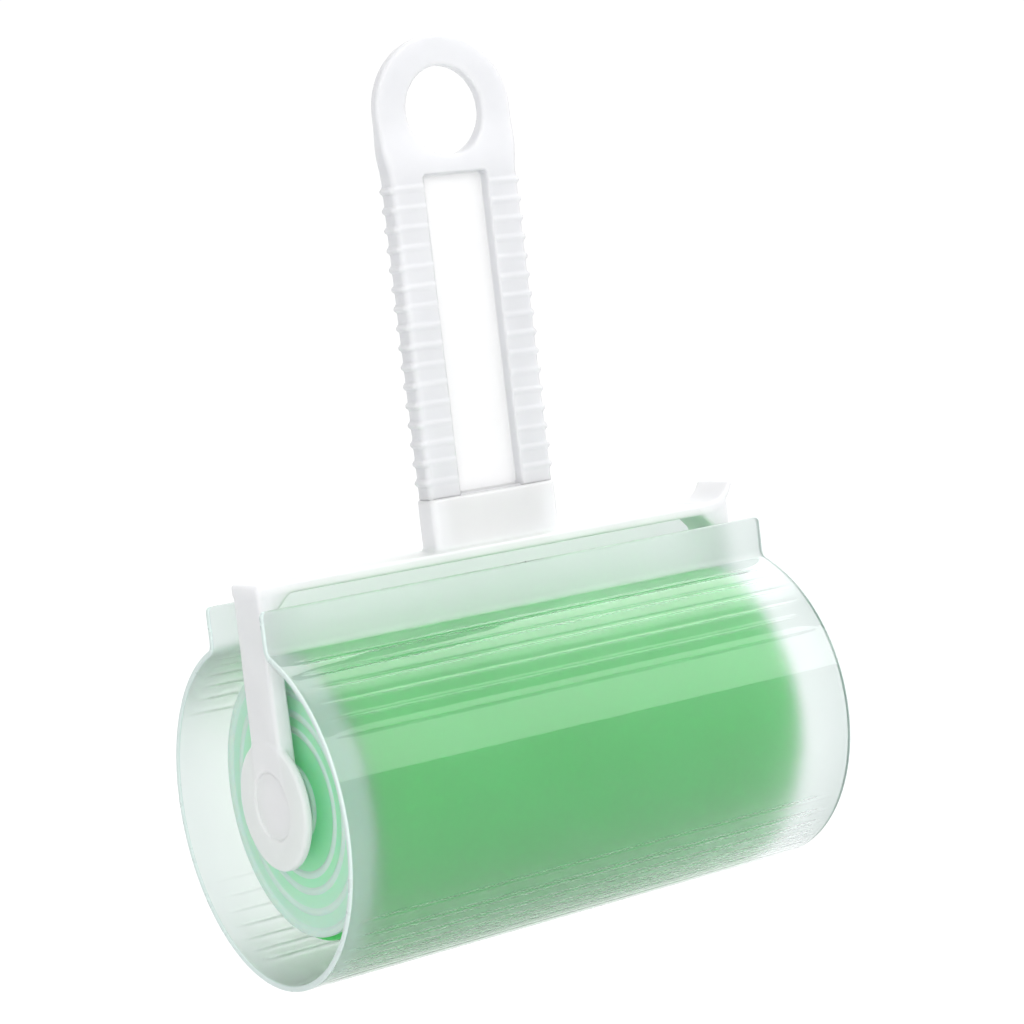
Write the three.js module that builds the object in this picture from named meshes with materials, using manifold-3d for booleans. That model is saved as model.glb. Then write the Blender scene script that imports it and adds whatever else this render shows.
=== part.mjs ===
// Washable sticky lint roller, hung by the ring at the end of its handle.
//
// A one-piece yoke (crossbar, two arms with round paddles, stub axles and a curled
// release tab) carries a plug-in handle. A gel-covered roller spins on the two stub
// axles, and an open-ended C-shaped cover slides over it along the roller axis.
//
// Millimetres. X runs along the roller, -Y is the front, +Z points up the handle.
// The origin is the centre of the hanging hole.

import * as THREE from 'three';
import { mergeVertices } from 'three/addons/utils/BufferGeometryUtils.js';
import Module from 'manifold-3d';

const wasm = await Module();
wasm.setup();

// ---------------------------------------------------------------- driving dimensions

const GAP = 0.3;               // left between pieces that touch each other
const OVERRUN = 1;             // how far a cutter runs past the face that it cuts
const HANG_REACH = 145;        // roller axis to the centre of the hanging hole

// Heights below are above the roller axis.

const HEAD_WIDTH = 35.4;
const HEAD_CROWN = 17;         // top of the head above the hanging hole's centre
const HANG_HOLE_RADIUS = 10;
const HEAD_THICKNESS = 3;
const SHOULDER_LOW = 130;      // where the grip starts to thin towards the head
const SHOULDER_WIDE = 138;     // where the head reaches its full width
const SHOULDER_HIGH = 144;     // where the head reaches its final thickness
const SHOULDER_STEPS = 6;

const GRIP_WIDTH = 33.4;
const GRIP_DEPTH = 5.6;
const GRIP_EDGE_RADIUS = 1.2;
const PANEL_WIDTH = 16.8;      // the sunk panel on the front and on the back
const PANEL_TOP = 131;
const FRONT_PANEL_DEPTH = 3;
const BACK_PANEL_DEPTH = 1;

const RIB_COUNT = 16;
const RIB_PITCH = 4.33;
const RIB_FIRST = 63.4;
const RIB_HEIGHT = 1.4;
const RIB_PROUD_SIDE = 0.7;
const RIB_PROUD_FACE = 0.2;

const COLLAR_WIDTH = 33.6;
const COLLAR_DEPTH = 7.4;
const COLLAR_EDGE_RADIUS = 1.5;
const COLLAR_TOP = 59.6;
const TENON_WIDTH = 25;
const TENON_DEPTH = 3.6;
const TENON_EDGE_RADIUS = 1;
const TENON_LENGTH = 9.6;

const BAR_WIDTH = 12;
const BAR_BOTTOM = 45.5;
const BAR_TOP = 48;
const TAB_START = 58;          // where the bar starts to curl up into the release tab
const TAB_RADIUS = 7;          // radius of the tab's upper face
const TAB_SWEEP = THREE.MathUtils.degToRad(65);
const TAB_TIP_THICKNESS = 1.4;
const TAB_STEPS = 8;

const ARM_OUTER = 64;          // outer faces of the arms, from the middle of the roller
const ARM_THICKNESS = 4;
const ARM_WIDTH_TOP = 11.6;
const ARM_WIDTH_LOW = 13;
const ARM_FILLET = 4;          // sloped corner under the bar
const PADDLE_RADIUS = 14.2;
const PADDLE_THICKNESS = 2;
const DIMPLE_RADIUS = 7.5;
const DIMPLE_DEPTH = 0.6;
const BOSS_RADIUS = 7.5;
const AXLE_RADIUS = 5;
const AXLE_END = 50;           // inner ends of the stub axles

const GEL_RADIUS = 31;
const GEL_THICKNESS = 3;
const GEL_LENGTH = 113.4;
const CORE_WALL = 2;
const CORE_RADIUS = GEL_RADIUS - GEL_THICKNESS - GAP;
const CORE_INNER_RADIUS = CORE_RADIUS - CORE_WALL;

const CAP_RADIUS = 29.8;
const CAP_FACE = 57.9;         // face of the cap's web, from the middle of the roller
const CAP_RIM = 58.5;          // face of its rim and rings
const CAP_WEB = 1.7;
const CAP_RIM_WIDTH = 1.4;
const CAP_RINGS = [24.3, 19.8, 16.2];
const CAP_RING_HALF_WIDTH = 0.6;
const CAP_SKIRT_WALL = 1.5;
const CAP_SKIRT_END = 46;
const CAP_HUB_RADIUS = 8.2;
const CAP_HUB_FACE = 58.7;
const CAP_HUB_END = 48;
const CAP_BORE_RADIUS = AXLE_RADIUS + 0.25;

const COVER_RADIUS = 38;
const COVER_WALL = 1.3;
const COVER_LENGTH = 135;
const COVER_DROP = 1.5;        // the cover's own axis lies this far below the roller axis
const LIP_SPACING = 25.6;      // between the outer faces of the cover's two upright lips
const LIP_TOP = 45;            // above the cover's own axis
const LIP_FILLET = 2;
const COVER_RIBS = 7;          // in each quarter, on the inside
const COVER_RIB_START = THREE.MathUtils.degToRad(31);
const COVER_RIB_PITCH = THREE.MathUtils.degToRad(6.3);
const COVER_RIB_SIZE = 0.9;
const COVER_RIB_LENGTH = 127;

const ROUND_SEGMENTS = 40;
const HEAD_SEGMENTS = 28;
const COVER_SEGMENTS = 64;
const FILLET_SEGMENTS = 3;
const CORNER_SEGMENTS = 2;

// ------------------------------------------------------------------------ materials

const FROSTED_WHITE = { color: 0xeef1f2, roughness: 0.42, metalness: 0 };
const MILKY_CAP = { color: 0xdbece4, roughness: 0.5, metalness: 0 };
const CORE_WHITE = { color: 0xf1f4f1, roughness: 0.5, metalness: 0 };
const GEL_GREEN = { color: 0x30bd50, roughness: 0.25, metalness: 0 };
const FROSTED_COVER = {
  color: 0xdfeeea, roughness: 0.35, metalness: 0, transparent: true, opacity: 0.45,
};

// -------------------------------------------------------------------- shape helpers

const X_AXIS = new THREE.Vector3(1, 0, 0);
const Y_AXIS = new THREE.Vector3(0, 1, 0);
const Z_AXIS = new THREE.Vector3(0, 0, 1);

function extrude(shape, depth, segments) {
  const options = { depth, bevelEnabled: false, curveSegments: segments };
  return new THREE.ExtrudeGeometry(shape, options);
}

// A shape drawn in X and Z, given a thickness centred on Y = 0.
function plateXZ(shape, thickness) {
  const turn = new THREE.Matrix4().makeBasis(X_AXIS, Z_AXIS, Y_AXIS.clone().negate());
  return extrude(shape, thickness, HEAD_SEGMENTS).applyMatrix4(turn).translate(0, thickness / 2, 0);
}

// A shape drawn in Y and Z, given a thickness from X = start towards +X.
function plateYZ(shape, start, thickness) {
  const turn = new THREE.Matrix4().makeBasis(Y_AXIS, Z_AXIS, X_AXIS);
  return extrude(shape, thickness, 1).applyMatrix4(turn).translate(start, 0, 0);
}

// A rounded rectangle in X and Y, raised from one height to another.
function roundedPrism(width, depth, radius, bottom, top) {
  const shape = roundedRectangle(width, depth, radius);
  return extrude(shape, top - bottom, CORNER_SEGMENTS).translate(0, 0, bottom);
}

function roundedRectangle(width, depth, radius) {
  const x = width / 2 - radius;
  const y = depth / 2 - radius;
  const shape = new THREE.Shape();
  shape.absarc(x, y, radius, 0, Math.PI / 2);
  shape.absarc(-x, y, radius, Math.PI / 2, Math.PI);
  shape.absarc(-x, -y, radius, Math.PI, 1.5 * Math.PI);
  shape.absarc(x, -y, radius, 1.5 * Math.PI, 2 * Math.PI);
  return shape;
}

// A closed outline of [radius, position along X] points, turned about the X axis.
function turned(outline) {
  const loop = [...outline, outline[0]].map(([radius, along]) => new THREE.Vector2(radius, along));
  return new THREE.LatheGeometry(loop, ROUND_SEGMENTS).rotateZ(-Math.PI / 2);
}

function tube(innerRadius, outerRadius, length) {
  const half = length / 2;
  return turned([[innerRadius, -half], [outerRadius, -half], [outerRadius, half], [innerRadius, half]]);
}

// A round bar along X between two positions.
function roundBar(radius, from, to) {
  const bar = new THREE.CylinderGeometry(radius, radius, to - from, ROUND_SEGMENTS);
  return bar.rotateZ(-Math.PI / 2).translate((from + to) / 2, 0, 0);
}

function polygon(points) {
  return new THREE.Shape(points.map(([x, y]) => new THREE.Vector2(x, y)));
}

// Points along an arc, both ends included.
function arc(x, y, radius, from, to, steps) {
  return Array.from({ length: steps + 1 }, (_, step) => {
    const angle = THREE.MathUtils.lerp(from, to, step / steps);
    return [x + radius * Math.cos(angle), y + radius * Math.sin(angle)];
  });
}

// ------------------------------------------------------------------ joining and cutting

function toSolid(geometry) {
  const bare = geometry.clone();
  bare.deleteAttribute('normal');
  bare.deleteAttribute('uv');
  const merged = mergeVertices(bare);
  return new wasm.Manifold(new wasm.Mesh({
    numProp: 3,
    vertProperties: Float32Array.from(merged.attributes.position.array),
    triVerts: Uint32Array.from(merged.index.array),
  }));
}

function toGeometry(solid) {
  const { vertProperties, triVerts } = solid.getMesh();
  const geometry = new THREE.BufferGeometry();
  geometry.setAttribute('position', new THREE.BufferAttribute(vertProperties, 3));
  geometry.setIndex(new THREE.BufferAttribute(triVerts, 1));
  geometry.computeVertexNormals();
  return geometry;
}

function joined(geometries) {
  return geometries.map(toSolid).reduce((sum, solid) => sum.add(solid));
}

function part(name, geometry, look) {
  const mesh = new THREE.Mesh(geometry, new THREE.MeshStandardMaterial(look));
  mesh.name = name;
  return mesh;
}

// --------------------------------------------------------------------------- handle

function headOutline() {
  const grip = GRIP_WIDTH / 2;
  const head = HEAD_WIDTH / 2;
  const shape = new THREE.Shape();
  shape.moveTo(-grip, SHOULDER_LOW);
  shape.lineTo(grip, SHOULDER_LOW);
  shape.lineTo(head, SHOULDER_WIDE);
  shape.absellipse(0, HANG_REACH, head, HEAD_CROWN, 0, Math.PI);
  shape.lineTo(-head, SHOULDER_WIDE);
  const hole = new THREE.Path();
  hole.absarc(0, HANG_REACH, HANG_HOLE_RADIUS, 0, 2 * Math.PI, true);
  shape.holes.push(hole);
  return shape;
}

// Side view of the head: as deep as the grip at its foot, thinning smoothly upwards.
function headSideView() {
  const front = [];
  for (let step = 0; step <= SHOULDER_STEPS; step += 1) {
    const t = step / SHOULDER_STEPS;
    const ease = THREE.MathUtils.smoothstep(t, 0, 1);
    const half = THREE.MathUtils.lerp(GRIP_DEPTH, HEAD_THICKNESS, ease) / 2;
    front.push([half, THREE.MathUtils.lerp(SHOULDER_LOW, SHOULDER_HIGH, t)]);
  }
  front.push([HEAD_THICKNESS / 2, HANG_REACH + HEAD_CROWN + OVERRUN]);
  const back = front.map(([y, z]) => [-y, z]).reverse();
  return polygon([...front, ...back]);
}

function gripRib(index) {
  const middle = RIB_FIRST + index * RIB_PITCH;
  return roundedPrism(
    GRIP_WIDTH + 2 * RIB_PROUD_SIDE,
    GRIP_DEPTH + 2 * RIB_PROUD_FACE,
    GRIP_EDGE_RADIUS,
    middle - RIB_HEIGHT / 2,
    middle + RIB_HEIGHT / 2,
  );
}

// Cuts the sunk panel into the front (side = -1) or the back (side = 1) of the grip.
function panelCutter(side, depth, bottom) {
  const height = PANEL_TOP - bottom;
  const middle = side * (GRIP_DEPTH - depth + OVERRUN) / 2;
  const cutter = new THREE.BoxGeometry(PANEL_WIDTH, depth + OVERRUN, height);
  return toSolid(cutter.translate(0, middle, PANEL_TOP - height / 2));
}

function makeHandle() {
  const gripBottom = COLLAR_TOP + GAP;
  const width = HEAD_WIDTH + 2 * OVERRUN;
  const head = toSolid(plateXZ(headOutline(), GRIP_DEPTH))
    .intersect(toSolid(plateYZ(headSideView(), -width / 2, width)));
  const grip = roundedPrism(GRIP_WIDTH, GRIP_DEPTH, GRIP_EDGE_RADIUS, gripBottom, SHOULDER_LOW + OVERRUN);
  const ribs = Array.from({ length: RIB_COUNT }, (_, index) => gripRib(index));
  const tenon = roundedPrism(
    TENON_WIDTH, TENON_DEPTH, TENON_EDGE_RADIUS, gripBottom - TENON_LENGTH, gripBottom,
  );
  const body = joined([grip, ...ribs]).add(head)
    .subtract(panelCutter(-1, FRONT_PANEL_DEPTH, gripBottom - OVERRUN))
    .subtract(panelCutter(1, BACK_PANEL_DEPTH, gripBottom - OVERRUN))
    .add(toSolid(tenon));
  return part('handle', toGeometry(body), FROSTED_WHITE);
}

// ----------------------------------------------------------------------------- yoke

// Front view of the crossbar with the release tab curling up at its right-hand end.
function barOutline() {
  const below = [];
  const above = [];
  const centreHeight = BAR_TOP + TAB_RADIUS;
  for (let step = 0; step <= TAB_STEPS; step += 1) {
    const t = step / TAB_STEPS;
    const angle = t * TAB_SWEEP;
    const thickness = THREE.MathUtils.lerp(BAR_TOP - BAR_BOTTOM, TAB_TIP_THICKNESS, t);
    const outer = TAB_RADIUS + thickness;
    below.push([TAB_START + outer * Math.sin(angle), centreHeight - outer * Math.cos(angle)]);
    above.push([TAB_START + TAB_RADIUS * Math.sin(angle), centreHeight - TAB_RADIUS * Math.cos(angle)]);
  }
  return polygon([[-ARM_OUTER, BAR_BOTTOM], ...below, ...above.reverse(), [-ARM_OUTER, BAR_TOP]]);
}

// Everything at one end, built for the right and turned about Z for the left.
function armPieces() {
  const top = ARM_WIDTH_TOP / 2;
  const low = ARM_WIDTH_LOW / 2;
  const blade = polygon([[-low, 0], [low, 0], [top, BAR_TOP], [-top, BAR_TOP]]);
  const inner = ARM_OUTER - ARM_THICKNESS;
  const corner = polygon([
    [inner - ARM_FILLET, BAR_BOTTOM + OVERRUN],
    [inner - ARM_FILLET, BAR_BOTTOM],
    [inner, BAR_BOTTOM - ARM_FILLET],
    [inner + OVERRUN, BAR_BOTTOM - ARM_FILLET],
    [inner + OVERRUN, BAR_BOTTOM + OVERRUN],
  ]);
  return [
    plateYZ(blade, inner, ARM_THICKNESS),
    plateXZ(corner, ARM_WIDTH_TOP),
    roundBar(PADDLE_RADIUS, ARM_OUTER - PADDLE_THICKNESS, ARM_OUTER),
    roundBar(BOSS_RADIUS, inner, ARM_OUTER - PADDLE_THICKNESS + OVERRUN / 2),
    roundBar(AXLE_RADIUS, AXLE_END, inner + OVERRUN),
  ];
}

function makeYoke() {
  const collar = roundedPrism(
    COLLAR_WIDTH, COLLAR_DEPTH, COLLAR_EDGE_RADIUS, (BAR_BOTTOM + BAR_TOP) / 2, COLLAR_TOP,
  );
  const socket = roundedPrism(
    TENON_WIDTH + 2 * GAP,
    TENON_DEPTH + 2 * GAP,
    TENON_EDGE_RADIUS + GAP,
    COLLAR_TOP - TENON_LENGTH,
    COLLAR_TOP + OVERRUN,
  );
  const dimple = roundBar(DIMPLE_RADIUS, ARM_OUTER - DIMPLE_DEPTH, ARM_OUTER + OVERRUN);
  const rightArm = joined(armPieces()).subtract(toSolid(dimple));
  const leftArm = rightArm.rotate([0, 0, 180]);
  const body = joined([plateXZ(barOutline(), BAR_WIDTH), collar])
    .subtract(toSolid(socket))
    .add(rightArm)
    .add(leftArm);
  return part('yoke', toGeometry(body), FROSTED_WHITE);
}

// --------------------------------------------------------------------------- roller

function capOutline() {
  const skirtOuter = CORE_INNER_RADIUS - GAP;
  const skirtInner = skirtOuter - CAP_SKIRT_WALL;
  const webBack = CAP_FACE - CAP_WEB;
  const flangeBack = GEL_LENGTH / 2 + GAP;
  const rings = CAP_RINGS.flatMap((radius) => [
    [radius + CAP_RING_HALF_WIDTH, CAP_FACE],
    [radius, CAP_RIM],
    [radius - CAP_RING_HALF_WIDTH, CAP_FACE],
  ]);
  return [
    [CAP_BORE_RADIUS, CAP_HUB_END],
    [CAP_HUB_RADIUS, CAP_HUB_END],
    [CAP_HUB_RADIUS, webBack],
    [skirtInner, webBack],
    [skirtInner, CAP_SKIRT_END],
    [skirtOuter, CAP_SKIRT_END],
    [skirtOuter, flangeBack],
    [CAP_RADIUS, flangeBack],
    [CAP_RADIUS, CAP_RIM],
    [CAP_RADIUS - CAP_RIM_WIDTH, CAP_RIM],
    [CAP_RADIUS - CAP_RIM_WIDTH, CAP_FACE],
    ...rings,
    [CAP_HUB_RADIUS, CAP_FACE],
    [CAP_HUB_RADIUS, CAP_HUB_FACE],
    [CAP_BORE_RADIUS, CAP_HUB_FACE],
  ];
}

function makeRoller() {
  const roller = new THREE.Group();
  const core = tube(CORE_INNER_RADIUS, CORE_RADIUS, GEL_LENGTH);
  const gel = tube(GEL_RADIUS - GEL_THICKNESS, GEL_RADIUS, GEL_LENGTH);
  const rightCap = part('right_end_cap', turned(capOutline()), MILKY_CAP);
  const leftCap = part('left_end_cap', turned(capOutline()), MILKY_CAP);
  leftCap.rotation.z = Math.PI;
  roller.add(part('roller_core', core, CORE_WHITE), part('gel_sleeve', gel, GEL_GREEN));
  roller.add(leftCap, rightCap);
  return roller;
}

// ---------------------------------------------------------------------------- cover

// End view of the cover. Both walls of each fillet share one centre, so the wall
// keeps its thickness from the round body into the upright lip.
function coverOutline() {
  const lip = LIP_SPACING / 2;
  const filletY = lip + LIP_FILLET;
  const filletZ = Math.sqrt((COVER_RADIUS + LIP_FILLET) ** 2 - filletY ** 2);
  const meeting = Math.atan2(filletZ, filletY);
  const inside = COVER_RADIUS - COVER_WALL;
  const wide = LIP_FILLET + COVER_WALL;
  const fillet = (side, radius) => arc(
    side * filletY, filletZ, radius,
    side > 0 ? Math.PI + meeting : 0,
    side > 0 ? Math.PI : -meeting,
    FILLET_SEGMENTS,
  );
  return polygon([
    [-lip, LIP_TOP],
    ...fillet(-1, LIP_FILLET),
    ...arc(0, 0, COVER_RADIUS, Math.PI - meeting, 2 * Math.PI + meeting, COVER_SEGMENTS).slice(1, -1),
    ...fillet(1, LIP_FILLET),
    [lip, LIP_TOP],
    [lip - COVER_WALL, LIP_TOP],
    ...fillet(1, wide).reverse(),
    ...arc(0, 0, inside, 2 * Math.PI + meeting, Math.PI - meeting, COVER_SEGMENTS).slice(1, -1),
    ...fillet(-1, wide).reverse(),
    [-lip + COVER_WALL, LIP_TOP],
  ]);
}

// One lengthwise spacer rib on the inside wall, at an angle measured from +Y.
function coverRib(angle) {
  const reach = COVER_RADIUS - COVER_WALL;
  const rib = new THREE.BoxGeometry(COVER_RIB_LENGTH, 2 * COVER_RIB_SIZE, COVER_RIB_SIZE);
  return rib.translate(0, reach, 0).rotateX(angle);
}

function makeCover() {
  const shell = plateYZ(coverOutline(), -COVER_LENGTH / 2, COVER_LENGTH);
  const ribs = [];
  for (let index = 0; index < COVER_RIBS; index += 1) {
    const angle = COVER_RIB_START + index * COVER_RIB_PITCH;
    ribs.push(coverRib(angle), coverRib(-angle), coverRib(Math.PI - angle), coverRib(Math.PI + angle));
  }
  const bore = roundBar(COVER_RADIUS - COVER_WALL / 2, -COVER_LENGTH, COVER_LENGTH);
  const trimmedRibs = joined(ribs).intersect(toSolid(bore));
  return part('cover', toGeometry(toSolid(shell).add(trimmedRibs)), FROSTED_COVER);
}

// ------------------------------------------------------------------------- assembly

const cover = new THREE.Group();
cover.position.z = -COVER_DROP;
cover.add(makeCover());

const lintRoller = new THREE.Group();
lintRoller.position.z = -HANG_REACH;
lintRoller.add(makeHandle(), makeYoke(), makeRoller(), cover);

const model = new THREE.Group();
model.add(lintRoller);

export default model;
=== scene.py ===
import itertools
import math

import bpy
import numpy as np
from mathutils import Matrix, Vector


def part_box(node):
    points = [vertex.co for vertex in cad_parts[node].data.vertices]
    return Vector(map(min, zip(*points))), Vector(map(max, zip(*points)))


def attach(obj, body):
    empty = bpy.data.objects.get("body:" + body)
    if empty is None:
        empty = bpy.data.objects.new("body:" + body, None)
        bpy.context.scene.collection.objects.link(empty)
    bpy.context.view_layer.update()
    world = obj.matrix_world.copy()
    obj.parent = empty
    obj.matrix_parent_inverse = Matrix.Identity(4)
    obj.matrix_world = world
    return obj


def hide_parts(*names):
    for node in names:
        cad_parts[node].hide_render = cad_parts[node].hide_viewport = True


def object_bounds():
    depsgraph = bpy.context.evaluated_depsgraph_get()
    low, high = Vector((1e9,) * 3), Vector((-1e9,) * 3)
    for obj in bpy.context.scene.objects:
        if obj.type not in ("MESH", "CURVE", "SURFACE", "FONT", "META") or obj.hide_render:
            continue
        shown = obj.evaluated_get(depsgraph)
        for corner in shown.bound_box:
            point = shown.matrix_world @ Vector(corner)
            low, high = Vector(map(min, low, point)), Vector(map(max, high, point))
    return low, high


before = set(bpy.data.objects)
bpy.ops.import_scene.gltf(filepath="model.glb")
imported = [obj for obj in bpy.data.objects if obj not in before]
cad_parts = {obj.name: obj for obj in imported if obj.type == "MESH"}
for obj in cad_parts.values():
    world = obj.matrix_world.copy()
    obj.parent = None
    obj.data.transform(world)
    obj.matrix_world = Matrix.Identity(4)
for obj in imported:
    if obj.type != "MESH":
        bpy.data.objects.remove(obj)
cad_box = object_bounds()

# ---------------------------------------------------------------- dimensions, millimetres
# X runs along the roller, -Y is the front and heights are above the roller axis.

MM = 0.001
GAP = 0.3
OVERLAP = 1.0                # how far one form runs into the next
gel_low, gel_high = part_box("gel_sleeve")
cover_low, cover_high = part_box("cover")
ROLLER_AXIS = (gel_low.z + gel_high.z) / 2      # metres, in the frame

REACH = 145.0                # roller axis to the centre of the hanging hole
HEAD_HALF = 17.7
HEAD_CROWN = 17.0            # top of the head above the hole's centre
HOLE_RADIUS = 10.0
HEAD_DEPTH = 1.5             # half the thickness, as in every _DEPTH of the handle
HEAD_EDGE = 0.7
HOLE_EDGE = 0.7
GRIP_HALF = 16.7
GRIP_DEPTH = 2.8
GRIP_EDGE = 1.2
GRIP_BOTTOM = 59.4
SHOULDER_LOW = 130.0
SHOULDER_WIDE = 138.0
SHOULDER_HIGH = 144.0
PANEL_HALF = 8.4
PANEL_TOP = 131.0
PANEL_CORNER, PANEL_EDGE = 0.8, 0.5
WEB_FRONT, WEB_BACK = 0.2, 1.8
WEB_SKIN = 0.25              # faces this near the web take its material
RIB_COUNT = 16
RIB_PITCH = 4.33
RIB_FIRST = 63.4
RIB_HALF = 0.7
RIB_PROUD_SIDE = 0.7
RIB_PROUD_FACE = 0.1
RIB_EDGE, RIB_BLEND = 0.65, 0.5
HANDLE_STEP = 0.5            # cell size of the handle's mesh

COLLAR_HALF = (16.8, 3.7)
COLLAR_EDGE = 1.5
COLLAR_TOP = 59.6
COLLAR_TOP_EDGE, COLLAR_BLEND = 0.6, 1.2
SOCKET_HALF = (12.8, 2.1)
SOCKET_CORNER, SOCKET_EDGE, SOCKET_BLEND = 1.3, 0.3, 0.5
TENON_HALF = (12.5, 1.8)
TENON_BOTTOM = 50.3
TENON_CORNER, TENON_EDGE = 1.0, 0.5
TENON_OVERLAP = 0.6
BAR_LOW, BAR_HIGH = 45.5, 48.0
BAR_HALF = 6.0
BAR_EDGE, BAR_END_EDGE = 0.55, 0.5
TAB_START = 58.0
TAB_RADIUS = 7.0
TAB_SWEEP = math.radians(65)
TAB_TIP = 1.4
ARM_INNER, ARM_OUTER = 60.0, 64.0
ARM_HALF_TOP, ARM_HALF_LOW = 5.8, 6.5
ARM_CORNER = 4.0
ARM_FOOT = -2.0              # lower end of an arm's blade, within its paddle
ARM_EDGE, ARM_END_EDGE, ARM_BLEND = 0.9, 0.7, 0.8
PADDLE_RADIUS = 14.2
PADDLE_INNER = 62.0
PADDLE_EDGE = 0.7
DIMPLE_RADIUS = 7.5
DIMPLE_DEPTH = 0.6
DIMPLE_EDGE, DIMPLE_BLEND = 0.3, 0.5
BOSS_RADIUS = 7.5
BOSS_OVERLAP = 0.8
BOSS_EDGE = 0.4
AXLE_RADIUS = 5.0
AXLE_END = 50.0
AXLE_EDGE, AXLE_BLEND = 0.6, 0.6
YOKE_STEP = 0.55             # cell size of the yoke's mesh

GEL_RADIUS, GEL_INNER = 31.0, 28.0
GEL_HALF = 56.7
GEL_EDGE, CORE_EDGE = 0.8, 0.3
CORE_RADIUS, CORE_INNER = 27.7, 25.7
TUBE_PIECE = 12              # longest span between two rings of a tube's mesh
TURN_SEGMENTS = 144
CAP_RADIUS = 29.8
CAP_EDGE = 0.35
CAP_RIM_TOP, CAP_RIM_FOOT = 1.4, 1.9    # width of the raised rim at its face and its foot
CAP_FACE, CAP_RIM, CAP_BACK = 57.9, 58.5, 57.0
CAP_WEB_BACK = 56.2
CAP_SKIRT = (25.4, 23.9)
CAP_SKIRT_END = 46.0
CAP_HUB, CAP_BORE = 8.2, 5.25
CAP_HUB_FACE, CAP_HUB_END = 58.7, 48.0
CAP_HUB_SLOPE = 0.3
CAP_RINGS = (24.3, 19.8, 16.2)
CAP_RING_FACE = 58.25
CAP_RING_TOP, CAP_RING_FOOT = 0.35, 0.9
CAP_WEB_SKIN = 0.05          # faces this far above the web belong to its rings and rim

COVER_RADIUS = 38.0
COVER_WALL = 1.3
COVER_HALF = (cover_high.x - cover_low.x) / 2 / MM
COVER_AXIS = cover_low.z / MM + COVER_RADIUS - ROLLER_AXIS / MM
LIP_OUTER = 12.8
LIP_TOP = 45.0
LIP_FILLET = 2.0
LIP_CORNER = 1.5
LIP_ROWS = 16                # rows of the wall that make up a lip and half its fillet
LIP_STEPS = 4                # round a lip's top edge
FILLET_STEPS = 6
WALL_STEPS = 106
RIM_ROUND = 0.5
RIM_STEPS = 5                # stations round each end's edge
COVER_RIB_START, COVER_RIB_PITCH, COVER_RIBS = 31.2, 6.35, 7
COVER_RIB_HEIGHT = 0.15
COVER_SINK = 0.12            # shallow groove left in the outer face behind each rib
COVER_RIB_END = 63.5


# ---------------------------------------------------------------- meshes

def make_piece(name, points, faces, materials, slots=None, normals=None):
    """An object from points in millimetres about the roller axis."""
    placed = np.asarray(points, float) * MM
    placed[:, 2] += ROLLER_AXIS
    mesh = bpy.data.meshes.new(name)
    mesh.from_pydata(placed.tolist(), [], [list(map(int, face)) for face in faces])
    for material in materials:
        mesh.materials.append(material)
    if slots is not None:
        mesh.polygons.foreach_set("material_index", np.asarray(slots, np.int32))
    mesh.shade_smooth()
    mesh.validate()
    if normals is not None:
        mesh.normals_split_custom_set_from_vertices(np.asarray(normals, float).tolist())
    piece = bpy.data.objects.new(name, mesh)
    bpy.context.scene.collection.objects.link(piece)
    return piece


def stand_for(piece, body, slot, *nodes):
    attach(piece, body)
    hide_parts(*nodes)


# ---------------------------------------------------------------- solids as distance fields

def soft_min(a, b, blend):
    share = np.maximum(blend - np.abs(a - b), 0) / blend
    return np.minimum(a, b) - share * share * blend / 4


def soft_max(a, b, blend):
    return -soft_min(-a, -b, blend)


def rounded_and(a, b, radius):
    """What lies in both a and b, with an edge of that radius between them."""
    out_a, out_b = a + radius, b + radius
    corner = np.hypot(np.maximum(out_a, 0), np.maximum(out_b, 0))
    return np.minimum(np.maximum(out_a, out_b), 0) + corner - radius


def slab(x, low, high):
    return np.abs(x - (low + high) / 2) - (high - low) / 2


def prism(x, y, z, half, radius, low, high, edge):
    outline = rounded_and(np.abs(x) - half[0], np.abs(y) - half[1], radius)
    return rounded_and(outline, slab(z, low, high), edge)


def disc(x, y, z, radius, low, high, edge):
    """A disc about the X axis."""
    return rounded_and(np.hypot(y, z) - radius, slab(x, low, high), edge)


def ease(value, low, high):
    t = np.clip((value - low) / (high - low), 0, 1)
    return t * t * (3 - 2 * t)


def handle_field(x, y, z):
    widening = ease(z, SHOULDER_LOW, SHOULDER_WIDE)
    thinning = ease(z, SHOULDER_LOW, SHOULDER_HIGH)
    width = GRIP_HALF + (HEAD_HALF - GRIP_HALF) * widening
    depth = GRIP_DEPTH + (HEAD_DEPTH - GRIP_DEPTH) * thinning
    edge = GRIP_EDGE + (HEAD_EDGE - GRIP_EDGE) * thinning
    from_hole = np.hypot(x, z - REACH)
    crown = np.hypot(x, (z - REACH) * HEAD_HALF / HEAD_CROWN) - HEAD_HALF
    outline = np.where(z > REACH, crown, np.abs(x) - width)
    body = rounded_and(outline, np.abs(y) - depth, edge)
    row = np.clip(np.round((z - RIB_FIRST) / RIB_PITCH), 0, RIB_COUNT - 1)
    rib_half = (GRIP_HALF + RIB_PROUD_SIDE, GRIP_DEPTH + RIB_PROUD_FACE)
    rib_height = z - RIB_FIRST - row * RIB_PITCH
    ribs = prism(x, y, rib_height, rib_half, GRIP_EDGE, -RIB_HALF, RIB_HALF, RIB_EDGE)
    body = soft_min(body, ribs, RIB_BLEND)
    body = np.maximum(body, GRIP_BOTTOM - z)
    body = soft_max(body, HOLE_RADIUS - from_hole, HOLE_EDGE)
    pocket = rounded_and(np.abs(x) - PANEL_HALF, z - PANEL_TOP, PANEL_CORNER)
    pocket = np.maximum(pocket, -slab(y, WEB_FRONT, WEB_BACK))
    body = soft_max(body, -pocket, PANEL_EDGE)
    tenon_top = GRIP_BOTTOM + TENON_OVERLAP
    tenon = prism(x, y, z, TENON_HALF, TENON_CORNER, TENON_BOTTOM, tenon_top, TENON_EDGE)
    return np.minimum(body, tenon)


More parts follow.
